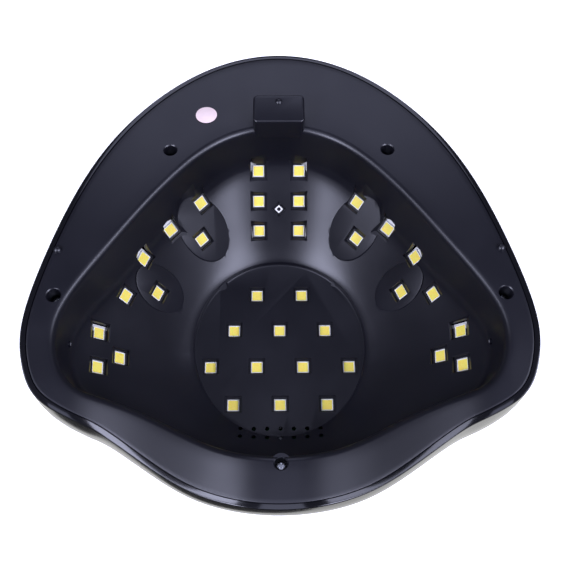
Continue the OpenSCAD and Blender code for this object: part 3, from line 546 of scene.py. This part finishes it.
# Satin black ABS, spark-eroded mould: near black in itself, its soft sheen gives the greys.
# The real grain is about 0.1 mm, too fine for the picture, so it is drawn at 0.5 mm.
satin_abs = moulded("satin black ABS, spark-eroded", "#14141b", "#0f0f15", 0.34, 0.03, 0.5, 0.012,
                    IOR=1.53)
dressed(liner, satin_abs)


# Top shell
# Gloss black ABS dome over the lower shell, one moulding with a flat ledge for the control
# panel and five bosses inside that take the case screws.
PANEL = at_place(0, -38, 85.4) @ Matrix.Rotation(math.radians(17), 4, "X")
PANEL_W, PANEL_D, PANEL_R, PANEL_T = 70, 36, 12, 2


def dome_rings(loop, shares, drop, foot):
    rings = []
    for t in shares:
        c = math.cos(math.radians(90 * t)) ** (2 / 2.4) * (1 + 0.05 * math.sin(math.pi * t))
        ring = []
        for x, y in loop:
            z0 = rim_z(x, y) - foot
            rise = math.sin(math.radians(90 * t)) ** (2 / 2.4)
            ring.append((x * c, 22 + (y - 22) * c, z0 + (TOP_Z - drop - z0) * rise))
        rings.append(np.array(ring))
    return rings


def rounded_plate(w, d, r, low, high, at, steps=12):
    bm = box_of((-w / 2, -d / 2, low), (w / 2, d / 2, high), at)
    axis = at.to_3x3() @ Vector((0, 0, 1))
    upright = [e for e in bm.edges if (e.verts[0].co - e.verts[1].co).normalized().cross(
        axis.normalized()).length < 1e-3]
    bmesh.ops.bevel(bm, geom=upright, offset=r * MM, segments=steps, profile=0.5,
                    affect="EDGES", material=-1, clamp_overlap=True)
    bmesh.ops.recalc_face_normals(bm, faces=bm.faces)
    return bm


steps = [0, 0.004, 0.012, 0.03, *np.linspace(0.06, 0.97, 26), 0.985]
foot_edge = [on_rim(moved_out(shell_loop, -0.45 * (1 - math.sin(a))), 0.45 * (1 - math.cos(a)))
             for a in np.radians((0, 30, 60))]
inner_foot = moved_out(shell_loop, -WALL)
outside = foot_edge + dome_rings(shell_loop, steps, 0, -0.45)
inside = dome_rings(inner_foot, [0, *steps[3:]], WALL, 0)
top_shell = lofted(inside[::-1] + outside)
ledge = carved(rounded_plate(PANEL_W + 14, PANEL_D + 14, PANEL_R + 6, -PANEL_T - 3, 8, PANEL),
               lofted(dome_rings(moved_out(shell_loop, -WALL / 2), [0, *steps[3:]], WALL / 2, 0)),
              "INTERSECT")
top_shell = carved(top_shell, ledge, "UNION")
bosses = []
skin = skin_of(top_shell)
for x, y in SCREWS:
    base = rim_z(x, y) + WELL_DEPTH + WELL_FLOOR + 0.15 + (6.2 if y < -50 else 0)
    roof = skin.ray_cast(at_place(x, y, base).translation, Vector((0, 0, 1)))[0].z / MM
    boss = rod(3.2, base, roof + 1, at_place(x, y, 0), 32)
    for v in boss.verts:
        if v.co.z > (roof + 0.9) * MM:
            hit = skin.ray_cast(Vector((v.co.x, v.co.y, base * MM)), Vector((0, 0, 1)))[0]
            v.co.z = hit.z + 1.1 * MM
    bosses.append(boss)
top_shell = carved(top_shell, gathered(bosses), "UNION")
cuts = [rounded_plate(160, 120, 50, 0, 20, PANEL)]
for x, y in SCREWS:
    base = rim_z(x, y) + WELL_DEPTH + WELL_FLOOR + (6.2 if y < -50 else 0)
    cuts.append(rod(1.45, base - 1, base + 14, at_place(x, y, 0), 20))
top_shell = carved(top_shell, gathered(cuts))
top_shell = carved(top_shell, rounded_plate(
    PANEL_W + 2 * SEAM, PANEL_D + 2 * SEAM, PANEL_R + SEAM, -PANEL_T - 0.05, 1, PANEL, 16))
top_shell = carved(top_shell, rounded_plate(PANEL_W - 8, PANEL_D - 8, PANEL_R - 4, -20, 1, PANEL))
dome = piece("dome", top_shell, 28)
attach(dome, "housing")
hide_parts("top_shell")

# Gloss black ABS from a polished mould: deep black with clear reflections, broken only by a
# faint waviness and by hairline rubs, drawn far coarser than the real ones so that they show.
gloss_abs = moulded("gloss black ABS, polished mould", "#121216", "#0d0d11", 0.13, 0.03, 14, 0.02,
                    cloud_mm=35, IOR=1.53, Coat_Weight=0.25, Coat_Roughness=0.06)
dressed(dome, gloss_abs)


# Control panel
# Gloss black ABS plate let into the dome's ledge, with four round openings for the keys and
# a recess for the display's window. Its top edge is rounded off, so a fine groove shows.
KEYS_Y, WINDOW_Y = -8, 7.5
panel = rounded_plate(PANEL_W, PANEL_D, PANEL_R, -PANEL_T, 0, PANEL, 16)
up = (PANEL.to_3x3() @ Vector((0, 0, 1))).normalized()
face_level = (PANEL.translation).dot(up)
top_edge = [e for e in panel.edges if all(abs(v.co.dot(up) - face_level) < 1e-6 for v in e.verts)]
bmesh.ops.bevel(panel, geom=top_edge, offset=0.5 * MM, segments=4, profile=0.5, affect="EDGES",
                material=-1, clamp_overlap=True)
holes = []
for i in range(4):
    at = PANEL @ Matrix.Translation(((i - 1.5) * 15, KEYS_Y, 0))
    holes.append(rod(4.7, -3, 1, at, 64))
    holes.append(rod(4.7, -0.35, 0.65, at, 64, 5.7))
holes.append(rounded_plate(28.2, 13.2, 2.1, -1.4, 1, PANEL @ Matrix.Translation((0, WINDOW_Y, 0))))
holes.append(rounded_plate(25, 10, 1, -4, 1, PANEL @ Matrix.Translation((0, WINDOW_Y, 0))))
for hole in holes:
    panel = carved(panel, hole)
posts = [rod(1.9, -7.48, -PANEL_T + 0.4, PANEL @ Matrix.Translation((x, y, 0)), 32)
         for x, y in ((-27.2, 8.5), (27.2, 8.5), (0, KEYS_Y))]
panel = carved(panel, gathered(posts), "UNION")
bores = [rod(0.75, -8.5, -3.5, PANEL @ Matrix.Translation((x, y, 0)), 20)
         for x, y in ((-27.2, 8.5), (27.2, 8.5), (0, KEYS_Y))]
panel = piece("panel_plate", carved(panel, gathered(bores)), 28)
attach(panel, "housing")
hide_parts("control_panel")
dressed(panel, gloss_abs)

# Display window
# Smoked acrylic pane glued into the panel's recess. Only a lit display would shine through.
pane = rounded_plate(28, 13, 2, -1.38, -0.05, PANEL @ Matrix.Translation((0, WINDOW_Y, 0)))
level = (PANEL @ Vector((0, 0, -0.05))).dot(up)
rim_edges = [e for e in pane.edges if all(abs(v.co.dot(up) - level) < 1e-6 for v in e.verts)]
bmesh.ops.bevel(pane, geom=rim_edges, offset=0.25 * MM, segments=3, profile=0.5, affect="EDGES",
                material=-1, clamp_overlap=True)
pane = piece("display_pane", pane, 28)
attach(pane, "housing")
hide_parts("display_window")
smoked = moulded("smoked acrylic", "#1d1015", "#160c10", 0.07, 0.02, 9, 0.006, IOR=1.49,
                 Coat_Weight=0.4, Coat_Roughness=0.03)
dressed(pane, smoked)


# Keys
# Four light grey ABS caps, slightly dished, with their numbers of seconds printed on top.
# Each rides on its own body, travels half a millimetre and presses a plunger.
key_abs = moulded("light grey ABS, fine satin", "#d4d6db", "#c3c6cd", 0.42, 0.05, 0.5, 0.008, IOR=1.53)
ink, ink_shader = new_material("pad-printed ink", Roughness=0.5)
ink_spot = add_node(ink, "TexCoord").outputs["Object"]
ink_wear = add_node(ink, "TexNoise", {"Vector": ink_spot}, {"Scale": 2500, "Detail": 3})
ink_tone = add_node(ink, "Mix", {0: ink_wear.outputs["Fac"]},
                    {6: paint("#1c1d22"), 7: paint("#3a3c44")}, data_type="RGBA")
ink.node_tree.links.new(ink_tone.outputs[2], ink_shader.inputs["Base Color"])
for i, seconds in enumerate(("10", "30", "60", "99")):
    at = PANEL @ Matrix.Translation(((i - 1.5) * 15, KEYS_Y, 0))
    cap = bmesh.new()
    profile = [(0, -3.1), (1.6, -3.1), (1.6, -2.9), (5.2, -2.9), (5.2, -2.15), (4.5, -2.15), (4.5, 0.3)]
    profile += [(4.0 + 0.5 * math.cos(a), 0.3 + 0.5 * math.sin(a)) for a in np.radians((20, 40, 60, 80))]
    profile += [(3.6, 0.78), (2.4, 0.66), (1.2, 0.6), (0, 0.58)]
    verts = [cap.verts.new((r, 0, z)) for r, z in profile]
    edges = [cap.edges.new(pair) for pair in zip(verts, verts[1:])]
    bmesh.ops.spin(cap, geom=verts + edges, cent=(0, 0, 0), axis=(0, 0, 1), angle=math.tau, steps=56,
                   use_merge=True)
    bmesh.ops.remove_doubles(cap, verts=cap.verts, dist=1e-4)
    bmesh.ops.transform(cap, matrix=at, verts=cap.verts)
    bmesh.ops.recalc_face_normals(cap, faces=cap.faces)
    cap = piece("key_cap_" + seconds, cap, 35)
    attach(cap, "key_" + seconds)
    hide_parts("button_" + seconds)
    dressed(cap, key_abs)
    text = bpy.data.curves.new("number", "FONT")
    text.body, text.align_x, text.align_y = seconds, "CENTER", "CENTER"
    text.size, text.extrude = 4.6, 0.05
    sign = bpy.data.objects.new("number", text)
    bpy.context.collection.objects.link(sign)
    letters = bmesh.new()
    letters.from_mesh(sign.evaluated_get(bpy.context.evaluated_depsgraph_get()).to_mesh())
    bpy.data.objects.remove(sign)
    bmesh.ops.remove_doubles(letters, verts=letters.verts, dist=1e-5)
    bmesh.ops.transform(letters, matrix=at @ Matrix.Translation((0, 0, 0.68)), verts=letters.verts)
    letters = piece("key_number_" + seconds, letters, 28)
    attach(letters, "key_" + seconds)
    dressed(letters, ink)


# Lights
# White ceramic-filled packages with a well of clear yellow silicone over the chips. They are
# soldered to aluminium boards behind the windows and ride on the housing.
white_pack = moulded("white package resin", "#f4f3ee", "#e6e4dc", 0.45, 0.05, 0.6, 0.004, IOR=1.5)
phosphor, phosphor_shader = new_material(
    "yellow phosphor silicone", Roughness=0.22, IOR=1.41, Subsurface_Weight=0.25,
    Subsurface_Scale=0.0006)
phosphor_spot = add_node(phosphor, "TexCoord").outputs["Object"]
phosphor_grain = add_node(phosphor, "TexNoise", {"Vector": phosphor_spot}, {"Scale": 1400, "Detail": 2})
phosphor_tone = add_node(phosphor, "Mix", {0: phosphor_grain.outputs["Fac"]},
                         {6: paint("#f2d84e"), 7: paint("#fbec7c")}, data_type="RGBA")
phosphor.node_tree.links.new(phosphor_tone.outputs[2], phosphor_shader.inputs["Base Color"])
GLOW_W, SUNK = 4.5, 0.6


def package(at):
    """One light: body with a bevelled well, and the silicone that fills it."""
    bm = bmesh.new()
    bmesh.ops.create_cube(bm, size=1, matrix=Matrix.Translation((0, 0, (SUNK + LIGHT_H) / 2))
                          @ Matrix.Diagonal((LIGHT_W, LIGHT_W, LIGHT_H - SUNK, 1)))
    bmesh.ops.bevel(bm, geom=bm.edges[:], offset=0.14, segments=2, profile=0.5, affect="EDGES",
                    material=-1, clamp_overlap=True)
    face = min(bm.faces, key=lambda f: f.calc_center_median().z)
    bmesh.ops.inset_region(bm, faces=[face], thickness=(LIGHT_W - 0.28 - GLOW_W) / 2, depth=0)
    bmesh.ops.inset_region(bm, faces=[face], thickness=0.12, depth=-0.2)
    face.material_index = 1
    bmesh.ops.transform(bm, matrix=at, verts=bm.verts)
    bmesh.ops.recalc_face_normals(bm, faces=bm.faces)
    return bm


sets = {"back_leds": [group_frame(BACK) @ Matrix.Translation((*q, RECESS)) for q in BACK[3]],
        "ceiling_leds": [at_place(x, y, CEILING_Z + RECESS) for x, y in CEILING]}
for label, group in (("upper", UPPER), ("middle", MIDDLE), ("lower", LOWER)):
    for hand_label, hand in (("left", LEFT), ("right", RIGHT)):
        sets[f"{label}_{hand_label}_leds"] = [
            group_frame(group, hand) @ Matrix.Translation((*q, RECESS)) for q in group[3]]
for node_name, places in sets.items():
    lights = piece(node_name.replace("leds", "lights"), gathered([package(at) for at in places]), 28)
    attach(lights, "housing")
    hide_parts(node_name)
    dressed(lights, white_pack, phosphor)


# Boards
# White-masked laminate behind the windows and green laminate for the driver and the keys'
# board. The solder mask has a soft gloss over a faint weave.
def laminate(name, light, dark, rough):
    mat, shader = new_material(name, IOR=1.5)
    spot = add_node(mat, "TexCoord").outputs["Object"]
    weave = add_node(mat, "TexWave", {"Vector": spot},
                     {"Scale": 1000 / 2.4, "Distortion": 0.4, "Detail": 1}, bands_direction="X")
    cross = add_node(mat, "TexWave", {"Vector": spot},
                     {"Scale": 1000 / 2.4, "Distortion": 0.4, "Detail": 1}, bands_direction="Y")
    both = add_node(mat, "Math", {0: weave.outputs["Fac"], 1: cross.outputs["Fac"]}, operation="MULTIPLY")
    tone = add_node(mat, "Mix", {0: both.outputs[0]}, {6: paint(dark), 7: paint(light)}, data_type="RGBA")
    gloss = add_node(mat, "MapRange", {"Value": both.outputs[0]},
                     {"To Min": rough - 0.05, "To Max": rough + 0.05})
    bump = add_node(mat, "Bump", {"Height": both.outputs[0]}, {"Strength": 0.3, "Distance": 0.00001})
    tie = mat.node_tree.links.new
    tie(tone.outputs[2], shader.inputs["Base Color"])
    tie(gloss.outputs["Result"], shader.inputs["Roughness"])
    tie(bump.outputs["Normal"], shader.inputs["Normal"])
    return mat


white_laminate = laminate("white-masked laminate", "#e8e8e4", "#dcdcd6", 0.4)
green_laminate = laminate("green-masked laminate", "#1d6b3c", "#17552f", 0.35)
for name in ("back_board", "ceiling_board", *(f"{a}_{b}_board" for a in ("upper", "middle", "lower")
                                              for b in ("left", "right"))):
    dressed(nodes[name], white_laminate)
for name in ("driver_board", "control_board"):
    dressed(nodes[name], green_laminate)


# Small electrical parts
# Moulded epoxy and plastic cases, copper winding with painted shade between its turns, clear and dark beam
# parts, soft insulation
black_epoxy = moulded("black moulding epoxy", "#26262b", "#1c1c20", 0.55, 0.06, 0.4, 0.01, IOR=1.55)
sleeve = moulded("shrunk vinyl sleeve", "#232833", "#1b1f28", 0.32, 0.05, 0.6, 0.008, IOR=1.5)
winding, winding_shader = new_material("enamelled copper winding with painted groove shade", Metallic=1, Roughness=0.3)
winding_spot = add_node(winding, "TexCoord").outputs["Object"]
turns = add_node(winding, "TexWave", {"Vector": winding_spot}, {"Scale": 1000 / 4.2, "Distortion": 0.3},
                 bands_direction="Z")
# Painted shade: the copper is darker in the grooves between the turns and lighter on their crowns, following
# the same bands as the bump.
turn_groove_shade = add_node(winding, "Mix", {0: turns.outputs["Fac"]},
                     {6: paint("#6e3418"), 7: paint("#c77a43")}, data_type="RGBA")
turn_bump = add_node(winding, "Bump", {"Height": turns.outputs["Fac"]}, {"Strength": 0.8, "Distance": 0.0001})
winding.node_tree.links.new(turn_groove_shade.outputs[2], winding_shader.inputs["Base Color"])
winding.node_tree.links.new(turn_bump.outputs["Normal"], winding_shader.inputs["Normal"])
white_lead = moulded("white vinyl insulation", "#dfdfd9", "#cfcfc8", 0.5, 0.05, 1.2, 0.01, IOR=1.5)
red_lead = moulded("red vinyl insulation", "#b3262a", "#9c1f23", 0.5, 0.05, 1.2, 0.01, IOR=1.5)
ribbon = moulded("grey ribbon insulation", "#cfcfd4", "#bcbcc2", 0.5, 0.05, 1.2, 0.01, IOR=1.5)
clear_lens = moulded("clear lens resin", "#c9d2e6", "#b6c1d8", 0.12, 0.03, 2, 0.004, IOR=1.54)
dark_lens = moulded("dark filter resin", "#2a2a30", "#202026", 0.15, 0.03, 2, 0.004, IOR=1.54)
switch_case = moulded("black nylon", "#39393e", "#2d2d32", 0.5, 0.05, 0.5, 0.01, IOR=1.53)
dull_black = moulded("black ABS, plain", "#1e1e22", "#17171a", 0.45, 0.05, 0.5, 0.01, IOR=1.53)
for mat, names in ((black_epoxy, ("driver_transistors", "display_module")),
                   (sleeve, ("driver_capacitors",)), (winding, ("driver_inductor",)),
                   (white_lead, ("light_leads",)), (red_lead, ("socket_leads",)),
                   (ribbon, ("panel_ribbon",)), (clear_lens, ("beam_emitter",)),
                   (dark_lens, ("beam_receiver",)), (switch_case, ("tact_switches",)),
                   (dull_black, ("dc_socket", *(f"plunger_{n}" for n in ("10", "30", "60", "99"))))):
    for name in names:
        dressed(nodes[name], mat)


# Hand sensor
# White resin part with a dark round eye, seen through the diamond window in the back wall
at = group_frame(BACK) @ Matrix.Translation((0, 4.2, RECESS + LIGHT_H - 1.1)) \
    @ Matrix.Rotation(math.radians(45), 4, "Z")
eye = bmesh.new()
bmesh.ops.create_cube(eye, size=1, matrix=Matrix.Translation((0, 0, 0.55)) @ Matrix.Diagonal((3, 3, 1.1, 1)))
bmesh.ops.bevel(eye, geom=eye.edges[:], offset=0.12, segments=2, profile=0.5, affect="EDGES",
                material=-1, clamp_overlap=True)
bmesh.ops.transform(eye, matrix=at, verts=eye.verts)
bmesh.ops.recalc_face_normals(eye, faces=eye.faces)
eye = carved(eye, rod(0.9, -0.5, 0.35, at, 32))
for f in eye.faces:
    local = at.inverted() @ f.calc_center_median()
    f.material_index = 1 if local.xy.length < 0.95 and local.z > 0.02 and local.z < 0.5 else 0
sensor = piece("hand_sensor_eye", eye, 28)
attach(sensor, "housing")
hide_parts("hand_sensor")
dressed(sensor, white_pack, dark_lens)


# Screws
# Nickel-plated steel with crossed slots; the case screws sit at the bottom of their wells
nickel, nickel_shader = new_material("nickel-plated steel", Metallic=1, Roughness=0.28)
nickel_spot = add_node(nickel, "TexCoord").outputs["Object"]
nickel_cloud = add_node(nickel, "TexNoise", {"Vector": nickel_spot}, {"Scale": 900, "Detail": 4})
nickel_tone = add_node(nickel, "Mix", {0: nickel_cloud.outputs["Fac"]},
                       {6: paint("#a9acb0"), 7: paint("#cfd1d3")}, data_type="RGBA")
nickel_gloss = add_node(nickel, "MapRange", {"Value": nickel_cloud.outputs["Fac"]},
                        {"From Min": 0.3, "From Max": 0.7, "To Min": 0.2, "To Max": 0.36})
nickel.node_tree.links.new(nickel_tone.outputs[2], nickel_shader.inputs["Base Color"])
nickel.node_tree.links.new(nickel_gloss.outputs["Result"], nickel_shader.inputs["Roughness"])
for name in ("side_board_screws", "ceiling_board_screws", "driver_board_screws",
             "control_board_screws", "dc_socket_pin"):
    dressed(nodes[name], nickel)
screws = []
for x, y in SCREWS:
    at = at_place(x, y, rim_z(x, y) + WELL_DEPTH - 1.9) @ Matrix.Rotation(math.pi, 4, "X")
    screw = bmesh.new()
    profile = [(0, 0), (1.2, -0.05), (2.0, -0.3), (2.4, -0.75), (2.5, -1.2), (2.5, -1.7), (2.35, -1.85),
               (1.4, -1.85), (1.4, -14.3), (0.7, -15.5), (0, -15.5)]
    verts = [screw.verts.new((r, 0, z)) for r, z in profile]
    edges = [screw.edges.new(pair) for pair in zip(verts, verts[1:])]
    bmesh.ops.spin(screw, geom=verts + edges, cent=(0, 0, 0), axis=(0, 0, 1), angle=math.tau, steps=32,
                   use_merge=True)
    bmesh.ops.remove_doubles(screw, verts=screw.verts, dist=1e-4)
    bmesh.ops.transform(screw, matrix=at, verts=screw.verts)
    bmesh.ops.recalc_face_normals(screw, faces=screw.faces)
    for turned in (0, math.pi / 2):
        slot = box_of((-1.45, -0.36, -1.0), (1.45, 0.36, 0.5), at @ Matrix.Rotation(turned, 4, "Z"))
        screw = carved(screw, slot)
    screws.append(screw)
screws = piece("case_screw_set", gathered(screws), 35)
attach(screws, "housing")
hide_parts("case_screws")
dressed(screws, nickel)


# Round seal
# Thin pink-white vinyl disc stuck on the rear rim over the seam of the moulding; bare
seal_at = Matrix.Translation((32.2 * MM, (88.5 - MID_Y) * MM, (rim_z(32.2, 88.5) - 0.42) * MM)) \
    @ Matrix.Rotation(math.radians(7.3), 4, "X") @ Matrix.Scale(MM, 4)
seal = rod(4.7, 0, 0.15, seal_at, 64)
low = [e for e in seal.edges if all((seal_at.inverted() @ v.co).z < 0.01 for v in e.verts)]
bmesh.ops.bevel(seal, geom=low, offset=0.05 * MM, segments=2, profile=0.5, affect="EDGES", material=-1,
                clamp_overlap=True)
seal = piece("round_seal_disc", seal, 28)
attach(seal, "housing")
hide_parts("round_seal")
vinyl = moulded("plain vinyl film", "#efdcd9", "#e2c9c6", 0.5, 0.06, 1.5, 0.01, cloud_mm=4, IOR=1.5)
dressed(seal, vinyl)


# Floor and backdrop
# The floor under the lamp shows only from above, and the pale table that the lamp lies on for
# the photograph shows only from below; neither keeps any light off the lamp.
def sheet(name, z, facing, tone, glow=0.0, size=3.0):
    bm = bmesh.new()
    bmesh.ops.create_grid(bm, x_segments=1, y_segments=1, size=size,
                          matrix=Matrix.Translation((0, 0, z))
                          @ Matrix.Rotation(0 if facing > 0 else math.pi, 4, "X"))
    plane = piece(name, bm)
    mat, shader = new_material(name + ", matt paper", Roughness=0.9, IOR=1.4)
    shader.inputs["Base Color"].default_value = paint(tone)
    shader.inputs["Emission Color"].default_value = paint(tone)
    shader.inputs["Emission Strength"].default_value = glow
    clear = add_node(mat, "BsdfTransparent")
    back = add_node(mat, "NewGeometry").outputs["Backfacing"]
    mix = add_node(mat, "MixShader", {0: back, 1: shader.outputs[0], 2: clear.outputs[0]})
    mat.node_tree.links.new(mix.outputs[0], mat.node_tree.nodes["Material Output"].inputs["Surface"])
    dressed(plane, mat)
    for way in ("diffuse", "glossy", "transmission", "volume_scatter", "shadow"):
        setattr(plane, "visible_" + way, False)


sheet("floor", -0.0002, 1, "#e9e9ea")
sheet("photo_table", 0.0965, -1, "#ffffff", 0.45)


# Light
# The photographer's boxes: one to each side ahead of the lip, which draw the two bright patches
# on the shoulders, weaker ones at the sides, below and behind, and one above for the dome.
def soft_box(name, place, aim, width, height, power, tint="#ffffff"):
    data = bpy.data.lights.new(name, "AREA")
    data.shape, data.size, data.size_y, data.energy = "RECTANGLE", width, height, power
    data.color = paint(tint)[:3]
    lamp = bpy.data.objects.new(name, data)
    lamp.matrix_world = Matrix.Translation(place) \
        @ (Vector(aim) - Vector(place)).to_track_quat("-Z", "Y").to_matrix().to_4x4()
    lamp.visible_camera = False
    bpy.context.collection.objects.link(lamp)


FRONT_TINT, COOL = "#dfe2ff", "#d8dcff"
soft_box("left front softbox", (0.62, -0.50, -0.60), (0, 0, 0.04), 0.50, 0.50, 11, FRONT_TINT)
soft_box("right front softbox", (-0.62, -0.50, -0.60), (0, 0, 0.04), 0.50, 0.50, 11, FRONT_TINT)
soft_box("left softbox", (0.80, 0.02, -0.72), (0, 0, 0.04), 0.36, 0.36, 1.8, FRONT_TINT)
soft_box("right softbox", (-0.80, 0.02, -0.72), (0, 0, 0.04), 0.36, 0.36, 3.6, FRONT_TINT)
soft_box("low softbox", (0.0, -0.22, -0.93), (0, 0, 0.04), 0.70, 0.60, 2.2, COOL)
soft_box("rear softbox", (0.0, 0.82, -0.55), (0, 0, 0.03), 0.70, 0.45, 1.5, COOL)
soft_box("top softbox", (-0.3, 0.5, 1.5), (0, 0, 0.05), 2.4, 2.4, 14)
world = bpy.data.worlds.new("dim studio")
bpy.context.scene.world = world
world.use_nodes = True
world.node_tree.nodes["Background"].inputs["Color"].default_value = paint("#ffffff")
world.node_tree.nodes["Background"].inputs["Strength"].default_value = 0.04
